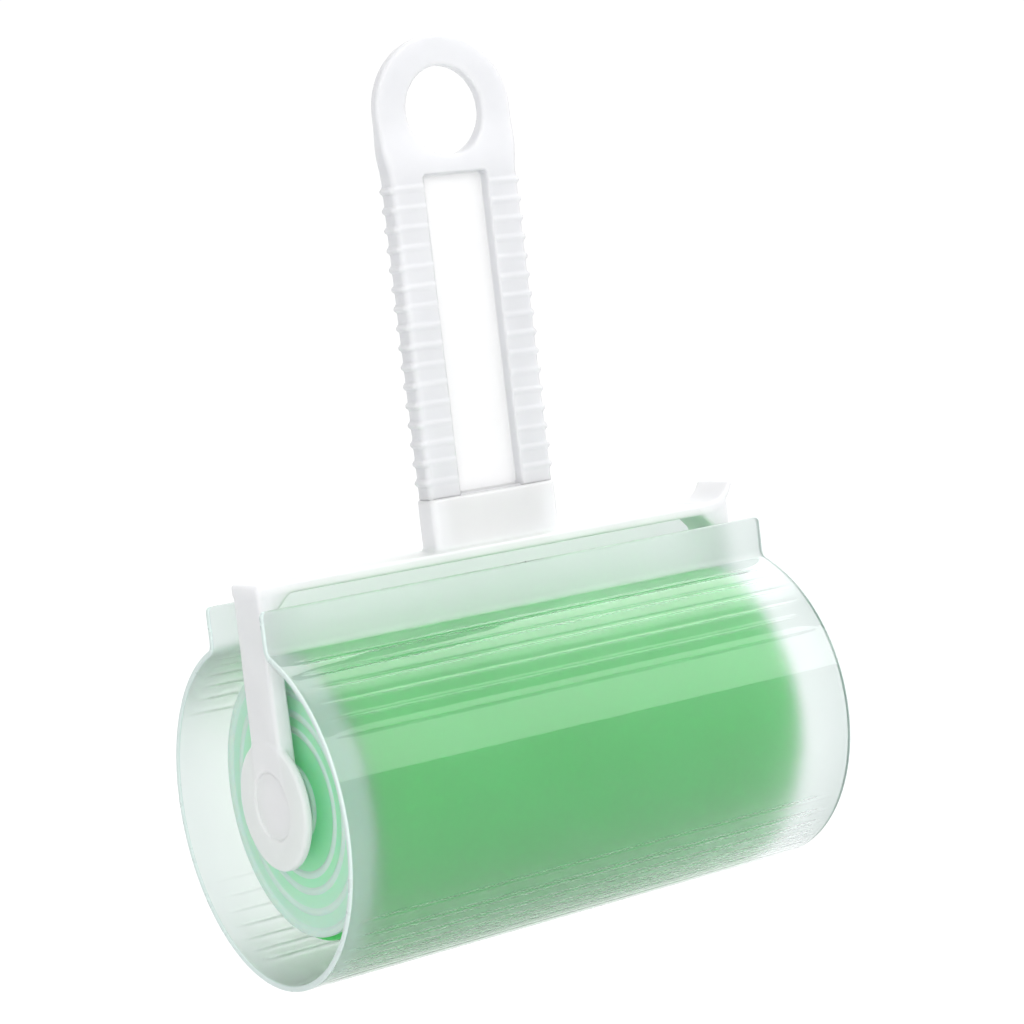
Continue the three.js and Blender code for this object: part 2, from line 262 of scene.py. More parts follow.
def tab_field(x, y, z):
    """The end of the crossbar, curled up into a release tab that thins to its tip."""
    centre_z = BAR_HIGH + TAB_RADIUS
    radius = np.hypot(x - TAB_START, z - centre_z)
    angle = np.arctan2(x - TAB_START, centre_z - z)
    share = np.clip(angle / TAB_SWEEP, 0, 1)
    thickness = BAR_HIGH - BAR_LOW + (TAB_TIP - BAR_HIGH + BAR_LOW) * share
    strip = np.abs(radius - TAB_RADIUS - thickness / 2) - thickness / 2
    tip_radius = TAB_RADIUS + TAB_TIP / 2
    tip_x = TAB_START + tip_radius * math.sin(TAB_SWEEP)
    tip_z = centre_z - tip_radius * math.cos(TAB_SWEEP)
    tip = np.hypot(x - tip_x, z - tip_z) - TAB_TIP / 2
    curl = np.where(angle > TAB_SWEEP, tip, np.maximum(strip, TAB_START - OVERLAP - x))
    return rounded_and(curl, np.abs(y) - BAR_HALF, BAR_EDGE)


def arm_field(x, y, z):
    """Both arms, each with its round paddle, boss and stub axle."""
    along = np.abs(x)
    half = ARM_HALF_LOW + (ARM_HALF_TOP - ARM_HALF_LOW) * np.clip(z / BAR_HIGH, 0, 1)
    blade = rounded_and(slab(along, ARM_INNER, ARM_OUTER), np.abs(y) - half, ARM_EDGE)
    blade = rounded_and(blade, slab(z, ARM_FOOT, BAR_HIGH), ARM_END_EDGE)
    line = ARM_INNER + BAR_LOW - ARM_CORNER
    corner = (line - along - z) / math.sqrt(2)
    corner = np.maximum(corner, np.maximum(along - PADDLE_INNER, z - BAR_HIGH + OVERLAP))
    corner = rounded_and(corner, np.abs(y) - ARM_HALF_TOP, ARM_EDGE)
    paddle = disc(along, y, z, PADDLE_RADIUS, PADDLE_INNER, ARM_OUTER, PADDLE_EDGE)
    boss = disc(along, y, z, BOSS_RADIUS, ARM_INNER, PADDLE_INNER + BOSS_OVERLAP, BOSS_EDGE)
    axle = disc(along, y, z, AXLE_RADIUS, AXLE_END, ARM_INNER + OVERLAP, AXLE_EDGE)
    body = soft_min(blade, paddle, ARM_BLEND)
    body = soft_min(body, corner, ARM_BLEND)
    body = soft_min(soft_min(body, boss, AXLE_BLEND), axle, AXLE_BLEND)
    floor, mouth = ARM_OUTER - DIMPLE_DEPTH, ARM_OUTER + 2 * OVERLAP
    dimple = disc(along, y, z, DIMPLE_RADIUS, floor, mouth, DIMPLE_EDGE)
    return soft_max(body, -dimple, DIMPLE_BLEND)


def yoke_field(x, y, z):
    section = rounded_and(slab(z, BAR_LOW, BAR_HIGH), np.abs(y) - BAR_HALF, BAR_EDGE)
    bar = rounded_and(section, slab(x, -ARM_OUTER, TAB_START + BAR_END_EDGE), BAR_END_EDGE)
    body = np.minimum(bar, tab_field(x, y, z))
    middle = (BAR_LOW + BAR_HIGH) / 2
    collar = prism(x, y, z, COLLAR_HALF, COLLAR_EDGE, middle, COLLAR_TOP, COLLAR_TOP_EDGE)
    body = soft_min(body, collar, COLLAR_BLEND)
    body = soft_min(body, arm_field(x, y, z), ARM_BLEND)
    bottom, mouth = TENON_BOTTOM - GAP, COLLAR_TOP + 2 * OVERLAP
    socket = prism(x, y, z, SOCKET_HALF, SOCKET_CORNER, bottom, mouth, SOCKET_EDGE)
    return soft_max(body, -socket, SOCKET_BLEND)


def slopes(field, points):
    """The field's gradient at each point."""
    reach = 0.02
    columns = []
    for axis in range(3):
        step = np.zeros(3)
        step[axis] = reach
        ahead, behind = (points + step).T, (points - step).T
        columns.append((field(*ahead) - field(*behind)) / (2 * reach))
    return np.stack(columns, 1)


def settle(field, points, most):
    """Moves points onto the field's surface."""
    for _ in range(3):
        slope = slopes(field, points)
        steep = np.maximum((slope * slope).sum(1), 0.05)
        move = slope * (field(*points.T) / steep)[:, None]
        length = np.linalg.norm(move, axis=1, keepdims=True)
        points = points - move * np.minimum(1, most / np.maximum(length, 1e-9))
    return points


def skin(field, low, high, step):
    """Points, quads and normals of the surface where the field is zero."""
    low = np.asarray(low, float)
    axes = [np.arange(a, b + step, step) for a, b in zip(low, high)]
    values = field(*np.meshgrid(*axes, indexing="ij"))
    inside = values < 0
    cells = [n - 1 for n in inside.shape]
    corners = list(itertools.product((0, 1), repeat=3))
    count = sum(
        inside[i:cells[0] + i, j:cells[1] + j, k:cells[2] + k].astype(np.int8)
        for i, j, k in corners
    )
    mixed = (count > 0) & (count < 8)
    cell = np.argwhere(mixed)
    number = np.full(mixed.shape, -1)
    number[mixed] = np.arange(len(cell))

    total, hits = np.zeros((len(cell), 3)), np.zeros(len(cell))
    for start, end in itertools.combinations(map(np.array, corners), 2):
        if np.abs(end - start).sum() != 1:
            continue
        first = values[tuple((cell + start).T)]
        last = values[tuple((cell + end).T)]
        crosses = (first < 0) != (last < 0)
        share = np.where(crosses, first / np.where(crosses, first - last, 1), 0)
        total += np.where(crosses[:, None], start + share[:, None] * (end - start), 0)
        hits += crosses
    points = low + (cell + total / hits[:, None]) * step

    quads = []
    for axis in range(3):
        side_a, side_b = np.eye(3, dtype=int)[(axis + 1) % 3], np.eye(3, dtype=int)[(axis + 2) % 3]
        first = np.take(inside, range(inside.shape[axis] - 1), axis)
        last = np.take(inside, range(1, inside.shape[axis]), axis)
        edge = np.argwhere(first != last)
        ring = [edge, edge - side_a, edge - side_a - side_b, edge - side_b]
        quad = np.stack([number[tuple(r.T)] for r in ring], 1)
        leaving = first[tuple(edge.T)]
        quads.append(np.where(leaving[:, None], quad, quad[:, ::-1]))
    quads = np.concatenate(quads)

    points = settle(field, points, step)
    ends = np.concatenate([quads[:, [i, (i + 1) % 4]] for i in range(4)])
    for _ in range(3):
        sums, shares = np.zeros_like(points), np.zeros(len(points))
        for a, b in ((0, 1), (1, 0)):
            np.add.at(sums, ends[:, a], points[ends[:, b]])
            np.add.at(shares, ends[:, a], 1)
        points = settle(field, (points + sums / shares[:, None]) / 2, step)
    normals = slopes(field, points)
    normals /= np.maximum(np.linalg.norm(normals, axis=1, keepdims=True), 1e-9)
    return points, quads, normals


# ---------------------------------------------------------------- turned pieces

def softened(outline, radius, steps=3):
    """A closed outline with each corner replaced by an arc that fits there."""
    result = []
    count = len(outline)
    for index, corner in enumerate(outline):
        before = np.subtract(outline[index - 1], corner)
        after = np.subtract(outline[(index + 1) % count], corner)
        reach = min(np.linalg.norm(before), np.linalg.norm(after)) / 2.2
        reach = min(radius, reach)
        start = corner + before / np.linalg.norm(before) * reach
        end = corner + after / np.linalg.norm(after) * reach
        for step in range(steps + 1):
            t = step / steps
            result.append((1 - t) ** 2 * start + 2 * t * (1 - t) * np.array(corner) + t * t * end)
    return np.array(result)


def turned(outline, segments, side=1):
    """Points and quads of a clockwise outline of (radius, along X), turned about X."""
    points, faces = [], []
    count = len(outline)
    for turn in range(segments):
        angle = 2 * math.pi * turn / segments
        for radius, along in outline:
            points.append((side * along, radius * math.cos(angle), radius * math.sin(angle)))
    for turn in range(segments):
        following = (turn + 1) % segments
        for index in range(count):
            other = (index + 1) % count
            quad = (
                turn * count + index,
                turn * count + other,
                following * count + other,
                following * count + index,
            )
            faces.append(quad[::-1] if side > 0 else quad)
    return np.array(points), faces


def cap_outline():
    """Section of an end cap: hub, web with three raised rings, rim, flange and skirt."""
    rings = []
    for radius in CAP_RINGS:
        rings += [
            (radius + CAP_RING_FOOT, CAP_FACE),
            (radius + CAP_RING_TOP, CAP_RING_FACE),
            (radius - CAP_RING_TOP, CAP_RING_FACE),
            (radius - CAP_RING_FOOT, CAP_FACE),
        ]
    return [
        (CAP_BORE, CAP_HUB_END),
        (CAP_HUB, CAP_HUB_END),
        (CAP_HUB, CAP_WEB_BACK),
        (CAP_SKIRT[1], CAP_WEB_BACK),
        (CAP_SKIRT[1], CAP_SKIRT_END),
        (CAP_SKIRT[0], CAP_SKIRT_END),
        (CAP_SKIRT[0], CAP_BACK),
        (CAP_RADIUS, CAP_BACK),
        (CAP_RADIUS, CAP_RIM),
        (CAP_RADIUS - CAP_RIM_TOP, CAP_RIM),
        (CAP_RADIUS - CAP_RIM_FOOT, CAP_FACE),
        *rings,
        (CAP_HUB + CAP_HUB_SLOPE, CAP_FACE),
        (CAP_HUB, CAP_HUB_FACE),
        (CAP_BORE, CAP_HUB_FACE),
    ]


# ---------------------------------------------------------------- cover

def cover_path():
    """Rows of the cover's wall from the rear lip round to the front lip.

    Each row is (y, z, normal y, normal z, half thickness, rib height, half length)."""
    half_wall = COVER_WALL / 2
    fillet_y = LIP_OUTER + LIP_FILLET
    fillet_z = math.sqrt((COVER_RADIUS + LIP_FILLET) ** 2 - fillet_y ** 2)
    meeting = math.degrees(math.atan2(fillet_z, fillet_y))
    wall_radius = COVER_RADIUS - half_wall
    bend = LIP_FILLET + half_wall

    side = []
    for step in range(LIP_STEPS + 1):
        angle = math.radians(90 * (1 - step / LIP_STEPS))
        height = LIP_TOP - RIM_ROUND + RIM_ROUND * math.sin(angle)
        side.append((height, half_wall - RIM_ROUND + RIM_ROUND * math.cos(angle)))
    side += [(LIP_TOP - drop, half_wall) for drop in (0.8, 1.2, 1.6, 2.5, 4, 5.5, 7)]
    rows = []
    for height, thickness in side:
        above = max(0, height - (LIP_TOP - LIP_CORNER))
        short = LIP_CORNER - math.sqrt(max(0, LIP_CORNER ** 2 - above ** 2))
        rows.append((LIP_OUTER - half_wall, height, 1, 0, thickness, 0, COVER_HALF - 0.7 * short))
    for step in range(FILLET_STEPS + 1):
        angle = math.radians(180 + meeting * step / FILLET_STEPS)
        cosine, sine = math.cos(angle), math.sin(angle)
        rows.append((
            fillet_y + bend * cosine, fillet_z + bend * sine, -cosine, -sine,
            half_wall, 0, COVER_HALF,
        ))

    bumps = ((-0.6, 0), (-0.4, 0.25), (-0.2, 0.75), (0, 1), (0.2, 0.75), (0.4, 0.25), (0.6, 0))
    per_degree = wall_radius * math.pi / 180
    rib_angles = [
        sign * (COVER_RIB_START + index * COVER_RIB_PITCH)
        for index in range(COVER_RIBS) for sign in (1, -1)
    ]
    stops = {}
    for rib in rib_angles:
        for offset, share in bumps:
            angle = rib + offset / per_degree
            if angle < meeting - 0.3:
                stops[round(angle, 4)] = share * COVER_RIB_HEIGHT
    clear = 1.0 / per_degree
    for step in range(1, WALL_STEPS + 1):
        angle = meeting - step * (meeting + 90) / WALL_STEPS
        if all(abs(angle - rib) > clear for rib in rib_angles):
            stops[round(angle, 4)] = 0
    for angle in sorted(stops, reverse=True):
        cosine, sine = math.cos(math.radians(angle)), math.sin(math.radians(angle))
        rows.append((
            wall_radius * cosine, wall_radius * sine, cosine, sine,
            half_wall, stops[angle], COVER_HALF,
        ))
    mirrored = [(-y, z, -ny, nz, t, rib, half) for y, z, ny, nz, t, rib, half in rows[::-1]]
    return np.array(rows + mirrored[1:])


OUTSIDE, INSIDE, RIM, LIP = range(4)    # slots of the cover's materials


def cover_mesh():
    """Points, faces and material slots of the cover's closed shell."""
    rows = cover_path()
    y, z, normal_y, normal_z, thickness, ribs, length = rows.T
    rim = [math.radians(90 * (1 - step / (RIM_STEPS - 1))) for step in range(RIM_STEPS)]
    stations = []                    # distance in from the end, share of thickness, share of rib
    half_wall = COVER_WALL / 2
    for angle in rim:
        share = (half_wall - RIM_ROUND + RIM_ROUND * math.cos(angle)) / half_wall
        stations.append((RIM_ROUND - RIM_ROUND * math.sin(angle), share, 0))
    end_gap = COVER_HALF - COVER_RIB_END
    stations += [(1.5, 1, 0), (2.8, 1, 0), (end_gap, 1, 0), (end_gap + 4, 1, 1)]
    stations += [(end_gap + 7 + 8 * step, 1, 1) for step in range(8)]
    left = [(-1, *station) for station in stations]
    right = [(1, *station) for station in reversed(stations)]
    columns = left + [(0, 0, 1, 1)] + right

    outer, inner = [], []
    for sign, inset, share, rib_share in columns:
        x = sign * (length - inset) if sign else np.zeros_like(length)
        for wall, direction in ((outer, 1), (inner, -1)):
            sunk = COVER_SINK / COVER_RIB_HEIGHT if direction > 0 else 1
            out = direction * thickness * share - ribs * rib_share * sunk
            wall.append(np.stack([x, y + normal_y * out, z + normal_z * out], 1))
    count_x, count_r = len(columns), len(rows)
    points = np.concatenate([np.concatenate(outer), np.concatenate(inner)])
    points[:, 2] += COVER_AXIS
    shift = count_x * count_r
    faces, slots = [], []

    def spot(column, row, inside):
        return column * count_r + row + (shift if inside else 0)

    for column in range(count_x - 1):
        from_end = min(column, count_x - 2 - column)
        for row in range(count_r - 1):
            near = [spot(column, row, 0), spot(column + 1, row, 0),
                    spot(column + 1, row + 1, 0), spot(column, row + 1, 0)]
            far = [spot(column, row, 1), spot(column, row + 1, 1),
                   spot(column + 1, row + 1, 1), spot(column + 1, row, 1)]
            faces += [near, far]
            if from_end < RIM_STEPS - 1:
                slots += [RIM, RIM]
            elif min(row, count_r - 2 - row) < LIP_ROWS:
                slots += [LIP, LIP]
            else:
                slots += [OUTSIDE, INSIDE]
        for row, turn in ((0, 1), (count_r - 1, -1)):
            strip = [spot(column, row, 0), spot(column, row, 1),
                     spot(column + 1, row, 1), spot(column + 1, row, 0)]
            faces.append(strip[::turn])
            slots.append(OUTSIDE)
    for column, turn in ((0, 1), (count_x - 1, -1)):
        for row in range(count_r - 1):
            strip = [spot(column, row, 0), spot(column, row + 1, 0),
                     spot(column, row + 1, 1), spot(column, row, 1)]
            faces.append(strip[::turn])
            slots.append(RIM)
    return points, faces, slots


# ---------------------------------------------------------------- materials

# Painted shade: the cover is darker and greyer past the ends of the gel, over the background seen
# through them.
COVER_TINTS_SHADED_ENDS = ((0.92, 0.98, 0.96), (0.825, 0.885, 0.87))    # over the gel, at the ends


class Look:
    """A material with one Principled shader and nodes that vary what feeds it."""

    def __init__(self, name, **plain):
        self.material = bpy.data.materials.new(name)
        self.material.use_nodes = True
        self.tree = self.material.node_tree
        self.shader = self.tree.nodes["Principled BSDF"]
        for socket, value in plain.items():
            self.shader.inputs[socket.replace("_", " ")].default_value = value
        self.place = self.tree.nodes.new("ShaderNodeTexCoord").outputs["Object"]

    def noise(self, scale, detail=3.0, roughness=0.5, stretch=(1, 1, 1)):
        place = self.tree.nodes.new("ShaderNodeMapping")
        place.inputs["Scale"].default_value = stretch
        self.tree.links.new(self.place, place.inputs["Vector"])
        node = self.tree.nodes.new("ShaderNodeTexNoise")
        node.inputs["Scale"].default_value = scale
        node.inputs["Detail"].default_value = detail
        node.inputs["Roughness"].default_value = roughness
        self.tree.links.new(place.outputs["Vector"], node.inputs["Vector"])
        return node.outputs["Fac"]

    def from_axis(self):
        """Distance from the roller's axis, in metres."""
        place = self.tree.nodes.new("ShaderNodeMapping")
        place.inputs["Scale"].default_value = (0, 1, 1)
        place.inputs["Location"].default_value = (0, 0, -ROLLER_AXIS)
        self.tree.links.new(self.place, place.inputs["Vector"])
        length = self.tree.nodes.new("ShaderNodeVectorMath")
        length.operation = "LENGTH"
        self.tree.links.new(place.outputs["Vector"], length.inputs[0])
        return length.outputs["Value"]

    def from_middle(self):
        """Distance along the roller from its middle, in metres."""
        split = self.tree.nodes.new("ShaderNodeSeparateXYZ")
        self.tree.links.new(self.place, split.inputs["Vector"])
        size = self.tree.nodes.new("ShaderNodeMath")
        size.operation = "ABSOLUTE"
        self.tree.links.new(split.outputs["X"], size.inputs[0])
        return size.outputs["Value"]

    def colour(self, source, dark, light, low=0.35, high=0.65):
        ramp = self.tree.nodes.new("ShaderNodeValToRGB")
        ramp.color_ramp.elements[0].position = low
        ramp.color_ramp.elements[0].color = (*dark, 1)
        ramp.color_ramp.elements[1].position = high
        ramp.color_ramp.elements[1].color = (*light, 1)
        self.tree.links.new(source, ramp.inputs["Fac"])
        self.tree.links.new(ramp.outputs["Color"], self.shader.inputs["Base Color"])

    def vary(self, socket, source, low, high, between=(0.3, 0.7)):
        spread = self.tree.nodes.new("ShaderNodeMapRange")
        spread.inputs["From Min"].default_value = between[0]
        spread.inputs["From Max"].default_value = between[1]
        spread.inputs["To Min"].default_value = low
        spread.inputs["To Max"].default_value = high
        self.tree.links.new(source, spread.inputs["Value"])
        self.tree.links.new(spread.outputs["Result"], self.shader.inputs[socket])

    def bumps(self, *layers):
        """Layers of (height source, strength, distance in metres)."""
        normal = None
        for source, strength, distance in layers:
            bump = self.tree.nodes.new("ShaderNodeBump")
            bump.inputs["Strength"].default_value = strength
            bump.inputs["Distance"].default_value = distance
            self.tree.links.new(source, bump.inputs["Height"])
            if normal is not None:
                self.tree.links.new(normal, bump.inputs["Normal"])
            normal = bump.outputs["Normal"]
        self.tree.links.new(normal, self.shader.inputs["Normal"])


def white_plastic(name, dark, light, glow=0.6, depth=0.006):
    look = Look(name, IOR=1.49, Subsurface_Weight=glow, Subsurface_Scale=depth)
    look.shader.inputs["Subsurface Radius"].default_value = (1.0, 1.0, 1.05)
    look.colour(look.noise(45, 4), dark, light)
    look.vary("Roughness", look.noise(260, 3), 0.3, 0.42)
    grain = look.noise(2600, 2)
    flow = look.noise(60, 2, 0.4, (1, 1, 0.35))
    look.bumps((flow, 0.2, 0.0005), (grain, 0.12, 0.00008))
    return look.material


def milky_cap_painted_glow():
    """Translucent plastic, green at the hub and pale at the rim, with a faint painted glow and a hub
    green brightened as painted light.
    """
    # The faint green emission is a painted glow, standing in for light coming through the translucent
    # plastic.
    look = Look("milky_cap_painted_glow", IOR=1.49, Transmission_Weight=0.1, Subsurface_Weight=0.3,
                Subsurface_Scale=0.003, Emission_Strength=0.07)
    look.shader.inputs["Emission Color"].default_value = (0.35, 1.0, 0.5, 1)
    # Painted light: the hub green is brighter than the plastic's own colour, against the shade of the
    # arm and paddle.
    hub_green_painted_lighter, rim_pale = (0.24, 0.84, 0.40), (0.58, 0.77, 0.69)
    look.colour(look.from_axis(), hub_green_painted_lighter, rim_pale, CAP_HUB * MM, CAP_RADIUS * MM)
    look.vary("Roughness", look.noise(300, 3), 0.3, 0.45)
    look.bumps((look.noise(150, 3), 0.15, 0.0003), (look.noise(2200, 2), 0.12, 0.00008))
    return look.material


def milky_plastic(name, dark, light, clear):
    look = Look(name, IOR=1.49, Transmission_Weight=clear, Subsurface_Weight=0.2,
                Subsurface_Scale=0.003)
    look.colour(look.noise(70, 4), dark, light)
    look.vary("Roughness", look.noise(300, 3), 0.3, 0.45)
    look.bumps((look.noise(2200, 2), 0.12, 0.00008))
    return look.material


def gel_rubber():
    look = Look("green_gel", IOR=1.45, Subsurface_Weight=0.15, Subsurface_Scale=0.002)
    look.shader.inputs["Subsurface Radius"].default_value = (0.3, 1.0, 0.4)
    look.colour(look.noise(55, 4), (0.034, 0.66, 0.100), (0.044, 0.71, 0.122))
    look.vary("Roughness", look.noise(180, 3), 0.25, 0.4)
    look.bumps((look.noise(90, 3, 0.4), 0.1, 0.0004), (look.noise(1500, 2), 0.08, 0.00006))
    return look.material


def cover_plastic(name, rough_low, rough_high, clear, grain, tints=COVER_TINTS_SHADED_ENDS):
    """Clear plastic that turns darker and greyer past the ends of the gel; with the default tints that
    darkening is painted shade.
    """
    look = Look(name, IOR=1.49, Transmission_Weight=clear)
    look.colour(look.from_middle(), *tints, (GEL_HALF - 4) * MM, (GEL_HALF + 8) * MM)
    look.vary("Roughness", look.noise(220, 3), rough_low, rough_high)
    look.bumps((look.noise(26, 2, 0.4), 0.05, 0.0004), (look.noise(2800, 2), grain, 0.00004))
    return look.material


WHITE = white_plastic("white_plastic", (0.655, 0.66, 0.675), (0.695, 0.70, 0.715))
# Painted light: the yoke is the same white plastic as the handle, made lighter to make up for the shade
# its bar, collar and arms get.
YOKE_WHITE_PAINTED_LIGHTER = white_plastic("yoke_white_painted_lighter", (0.76, 0.765, 0.78), (0.80, 0.805, 0.815))
# Painted light: the thin web is a lighter copy of the white plastic, standing in for light that comes
# through it from behind; its stronger subsurface is real translucency.
WEB_PAINTED_LIGHT = white_plastic("thin_web_painted_light", (0.74, 0.74, 0.745), (0.77, 0.77, 0.775), 0.7, 0.008)
CAP = milky_cap_painted_glow()
CAP_RING = milky_plastic("milky_cap_ring", (0.59, 0.80, 0.71), (0.65, 0.83, 0.75), 0.05)
CORE = milky_plastic("core_tube_plastic", (0.14, 0.76, 0.26), (0.19, 0.82, 0.32), 0.1)
GEL = gel_rubber()
COVER_OUTSIDE = cover_plastic("cover_outside", 0.03, 0.06, 0.975, 0.02)
COVER_INSIDE = cover_plastic("cover_inside_frosted", 0.68, 0.76, 0.97, 0.1)
COVER_LIP = cover_plastic("cover_lip_frosted", 0.45, 0.55, 0.80, 0.1)
RIM_TINTS = ((0.69, 0.78, 0.76), (0.66, 0.76, 0.74))
COVER_RIM = cover_plastic("cover_rim", 0.25, 0.35, 0.04, 0.05, RIM_TINTS)


# ---------------------------------------------------------------- pieces

def make_handle():
    low = (-GRIP_HALF - 3, -GRIP_DEPTH - 2, TENON_BOTTOM - 1)
    high = (GRIP_HALF + 3, GRIP_DEPTH + 2, REACH + HEAD_CROWN + 1)
    points, quads, normals = skin(handle_field, low, high, HANDLE_STEP)
    x, y, z = points[quads].mean(1).T
    # Faces of the thin web, which take the lighter copy with painted light.
    thin = (np.abs(x) < PANEL_HALF - 0.1) & (slab(y, WEB_FRONT, WEB_BACK) < WEB_SKIN)
    thin &= (z > GRIP_BOTTOM + 0.2) & (z < PANEL_TOP)
    piece = make_piece("handle_body", points, quads, [WHITE, WEB_PAINTED_LIGHT], thin, normals)
    stand_for(piece, "frame", "white_plastic", "handle")


def make_yoke():
    low = (-ARM_OUTER - 1, -PADDLE_RADIUS - 1, -PADDLE_RADIUS - 1)
    high = (ARM_OUTER + 4, PADDLE_RADIUS + 1, COLLAR_TOP + 1)
    points, quads, normals = skin(yoke_field, low, high, YOKE_STEP)
    piece = make_piece("yoke_frame", points, quads, [YOKE_WHITE_PAINTED_LIGHTER], None, normals)
    stand_for(piece, "frame", "white_plastic", "yoke")


def make_tube(name, outer, inner, half, edge, material, slot, node):
    outline = [(inner, -half), (outer, -half), (outer, half), (inner, half)]
    outline = softened(outline, edge)
    dense = []
    for start, end in zip(outline, np.roll(outline, -1, axis=0)):
        pieces = max(1, round(np.linalg.norm(end - start) / TUBE_PIECE))
        dense += [start + (end - start) * step / pieces for step in range(pieces)]
    points, faces = turned(dense, TURN_SEGMENTS)
    piece = make_piece(name, points, faces, [material])
    stand_for(piece, "roller", slot, node)


def make_cap(side, name, node):
    outline = softened(cap_outline(), CAP_EDGE)
    points, faces = turned(outline, TURN_SEGMENTS, side)
    middle_out = np.abs(points[:, 0])[np.array(faces)].mean(1)
    raised = middle_out > CAP_FACE + CAP_WEB_SKIN
    piece = make_piece(name, points, faces, [CAP, CAP_RING], raised)
    stand_for(piece, "roller", "cap_plastic", node)


make_handle()
make_yoke()
make_tube("gel_tube", GEL_RADIUS, GEL_INNER, GEL_HALF, GEL_EDGE, GEL, "green_gel", "gel_sleeve")
make_tube("core_tube", CORE_RADIUS, CORE_INNER, GEL_HALF, CORE_EDGE, CORE, "core_plastic", "roller_core")
make_cap(-1, "cap_left", "left_end_cap")
make_cap(1, "cap_right", "right_end_cap")
cover_points, cover_faces, cover_slots = cover_mesh()
cover_piece = make_piece(
    "cover_shell", cover_points, cover_faces,
    [COVER_OUTSIDE, COVER_INSIDE, COVER_RIM, COVER_LIP], cover_slots,
)
stand_for(cover_piece, "cover", "frosted_cover", "cover")


# ---------------------------------------------------------------- camera

CAMERA_YAW = math.radians(33.53)
CAMERA_PITCH = math.radians(5.25)
CAMERA_ROLL = math.radians(-6.69)
CAMERA_DISTANCE = 0.588
CAMERA_SIDE, CAMERA_RISE = 0.00523, 0.05516
CAMERA_LENS = 90.56

back = Vector((
    -math.sin(CAMERA_YAW) * math.cos(CAMERA_PITCH),
    -math.cos(CAMERA_YAW) * math.cos(CAMERA_PITCH),
    math.sin(CAMERA_PITCH),
))
level = (-back).cross(Vector((0, 0, 1))).normalized()
upright = level.cross(-back)
cover_middle = Vector((0, 0, ROLLER_AXIS + COVER_AXIS * MM))
camera_right = level * math.cos(CAMERA_ROLL) + upright * math.sin(CAMERA_ROLL)
camera_up = upright * math.cos(CAMERA_ROLL) - level * math.sin(CAMERA_ROLL)
camera = bpy.data.objects.new("camera", bpy.data.cameras.new("camera"))
bpy.context.scene.collection.objects.link(camera)
turn = Matrix((camera_right, camera_up, back)).transposed().to_4x4()
place = cover_middle + back * CAMERA_DISTANCE + level * CAMERA_SIDE + upright * CAMERA_RISE
camera.matrix_world = Matrix.Translation(place) @ turn
camera.data.lens = CAMERA_LENS
camera.data.sensor_width = 36
camera.data.clip_start = 0.01
bpy.context.scene.camera = camera


# ---------------------------------------------------------------- floor and light

FLOOR_LEVEL = cad_box[0].z - 0.12
FLOOR_REACH = 5.0
SWEEP_START = (-0.316, -0.487)          # the white strip on the floor fans out from here
SWEEP_HEADING = (0.5524, 0.8336)
SWEEP_RISE = (-0.1, 0.28)               # where it comes in, along its heading
SWEEP_SIDES = (0.9135, 0.972)           # cosines between which its sides fade
SWEEP_GLOW = 0.36
ROUND_LEVEL, WHITE_LEVEL = 0.78, 1.04   # the world, all round and behind the object
OVERHEAD, OVERHEAD_LEVEL = (0.55, 0.3, 0.78), 3.2
SOFTBOX_TILT = math.radians(36.8)
SOFTBOX_SHIFT, SOFTBOX_DISTANCE = 0.55, 0.9
SOFTBOX_WIDTH, SOFTBOX_HEIGHT, SOFTBOX_RADIANCE = 1.3, 0.476, 2.6
FILL_PLACE = (-0.4, -1.05, 0.2)
FILL_WIDTH, FILL_HEIGHT, FILL_RADIANCE = 1.2, 0.8, 2.47


def white_sweep(look):
    """Lifts the floor to white in a soft-edged strip behind the object."""
    links = look.tree.links
    apart = look.tree.nodes.new("ShaderNodeVectorMath")
    apart.operation = "SUBTRACT"
    apart.inputs[1].default_value = (*SWEEP_START, FLOOR_LEVEL)
    links.new(look.place, apart.inputs[0])
    heading = look.tree.nodes.new("ShaderNodeVectorMath")
    heading.operation = "NORMALIZE"
    links.new(apart.outputs["Vector"], heading.inputs[0])
    shares = look.tree.nodes.new("ShaderNodeMath")
    shares.operation = "MULTIPLY"
    limits = ((look.place, SWEEP_RISE), (heading.outputs["Vector"], SWEEP_SIDES))
    for socket, (vector, (low, high)) in zip(shares.inputs, limits):
        along = look.tree.nodes.new("ShaderNodeVectorMath")
        along.operation = "DOT_PRODUCT"
        along.inputs[1].default_value = (*SWEEP_HEADING, 0)
        links.new(vector, along.inputs[0])
        spread = look.tree.nodes.new("ShaderNodeMapRange")
        spread.interpolation_type = "SMOOTHSTEP"
        spread.inputs["From Min"].default_value = low
        spread.inputs["From Max"].default_value = high
        links.new(along.outputs["Value"], spread.inputs["Value"])
        links.new(spread.outputs["Result"], socket)
    look.shader.inputs["Emission Color"].default_value = (1, 1, 1, 1)
    look.vary("Emission Strength", shares.outputs["Value"], 0, SWEEP_GLOW, (0, 1))


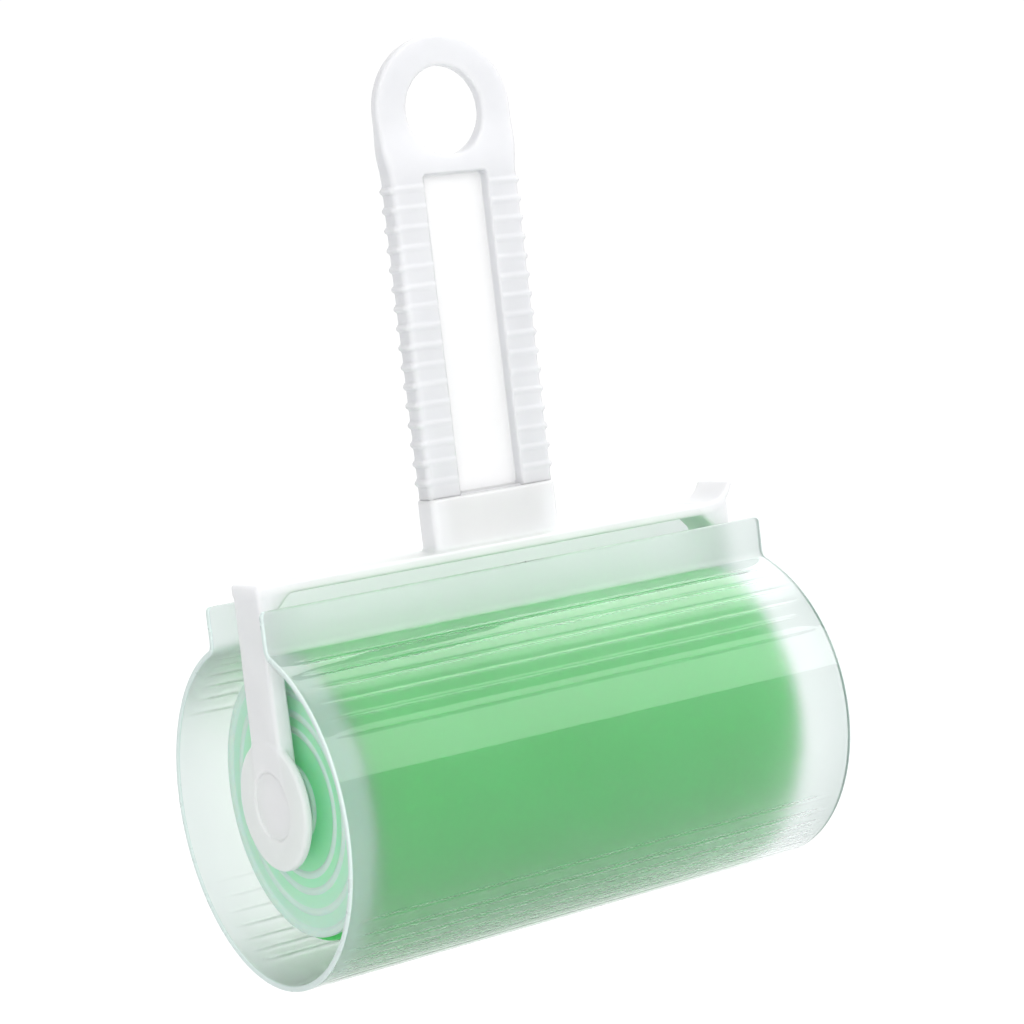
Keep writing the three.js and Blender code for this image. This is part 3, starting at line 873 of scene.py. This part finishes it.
def make_floor():
    rings, segments = 10, 48
    points, faces = [(0, 0, FLOOR_LEVEL)], []
    for ring in range(1, rings + 1):
        reach = FLOOR_REACH * (ring / rings) ** 2
        for step in range(segments):
            angle = 2 * math.pi * step / segments
            points.append((reach * math.cos(angle), reach * math.sin(angle), FLOOR_LEVEL))
    for step in range(segments):
        following = (step + 1) % segments
        faces.append((0, 1 + step, 1 + following))
        for ring in range(rings - 1):
            a, b = 1 + ring * segments, 1 + (ring + 1) * segments
            faces.append((a + step, b + step, b + following, a + following))
    mesh = bpy.data.meshes.new("floor")
    mesh.from_pydata(points, [], faces)
    look = Look("pale_floor", Roughness=1.0, Specular_IOR_Level=0.0)
    look.colour(look.noise(3, 2), (0.62, 0.62, 0.625), (0.63, 0.63, 0.635))
    white_sweep(look)
    mesh.materials.append(look.material)
    floor = bpy.data.objects.new("floor", mesh)
    bpy.context.scene.collection.objects.link(floor)


def area_light(name, place, aim, width, height, radiance):
    """A rectangular light whose face has the given radiance."""
    data = bpy.data.lights.new(name, "AREA")
    data.shape = "RECTANGLE"
    data.size, data.size_y = width, height
    data.energy = math.pi * width * height * radiance
    light = bpy.data.objects.new(name, data)
    light.location = place
    light.rotation_euler = (Vector(aim) - Vector(place)).to_track_quat("-Z", "Y").to_euler()
    bpy.context.scene.collection.objects.link(light)
    return light


def make_world():
    """White behind the object, a bright patch overhead and an even pale grey all round."""
    world = bpy.data.worlds.new("studio")
    bpy.context.scene.world = world
    world.use_nodes = True
    tree = world.node_tree
    background = tree.nodes["Background"]
    direction = tree.nodes.new("ShaderNodeTexCoord").outputs["Generated"]

    def shade(towards, low, high, dark, light):
        dot = tree.nodes.new("ShaderNodeVectorMath")
        dot.operation = "DOT_PRODUCT"
        dot.inputs[1].default_value = Vector(towards).normalized()
        tree.links.new(direction, dot.inputs[0])
        spread = tree.nodes.new("ShaderNodeMapRange")
        spread.interpolation_type = "SMOOTHSTEP"
        spread.inputs["From Min"].default_value = low
        spread.inputs["From Max"].default_value = high
        spread.inputs["To Min"].default_value = dark
        spread.inputs["To Max"].default_value = light
        tree.links.new(dot.outputs["Value"], spread.inputs["Value"])
        return spread.outputs["Result"]

    total = tree.nodes.new("ShaderNodeMath")
    behind = shade((*SWEEP_HEADING, -0.04), 0.80, 0.96, ROUND_LEVEL, WHITE_LEVEL)
    overhead = shade(OVERHEAD, 0.84, 0.99, 0.0, OVERHEAD_LEVEL)
    tree.links.new(behind, total.inputs[0])
    tree.links.new(overhead, total.inputs[1])
    tree.links.new(total.outputs["Value"], background.inputs["Strength"])
    background.inputs["Color"].default_value = (1, 1, 1, 1)


make_floor()
make_world()
softbox_aim = cover_middle + Vector((SOFTBOX_SHIFT, 0, 0))
softbox_side = Vector((0, -math.cos(SOFTBOX_TILT), math.sin(SOFTBOX_TILT)))
softbox_place = softbox_aim + softbox_side * SOFTBOX_DISTANCE
softbox = area_light(
    "softbox", softbox_place, softbox_aim, SOFTBOX_WIDTH, SOFTBOX_HEIGHT, SOFTBOX_RADIANCE,
)
softbox.visible_diffuse = False
softbox.visible_camera = False
fill = area_light(
    "front_fill", FILL_PLACE, cover_middle, FILL_WIDTH, FILL_HEIGHT, FILL_RADIANCE,
)
fill.visible_camera = False
fill.visible_glossy = False
fill.visible_transmission = False

bpy.context.scene.view_settings.view_transform = "Standard"
bpy.context.scene.view_settings.look = "None"
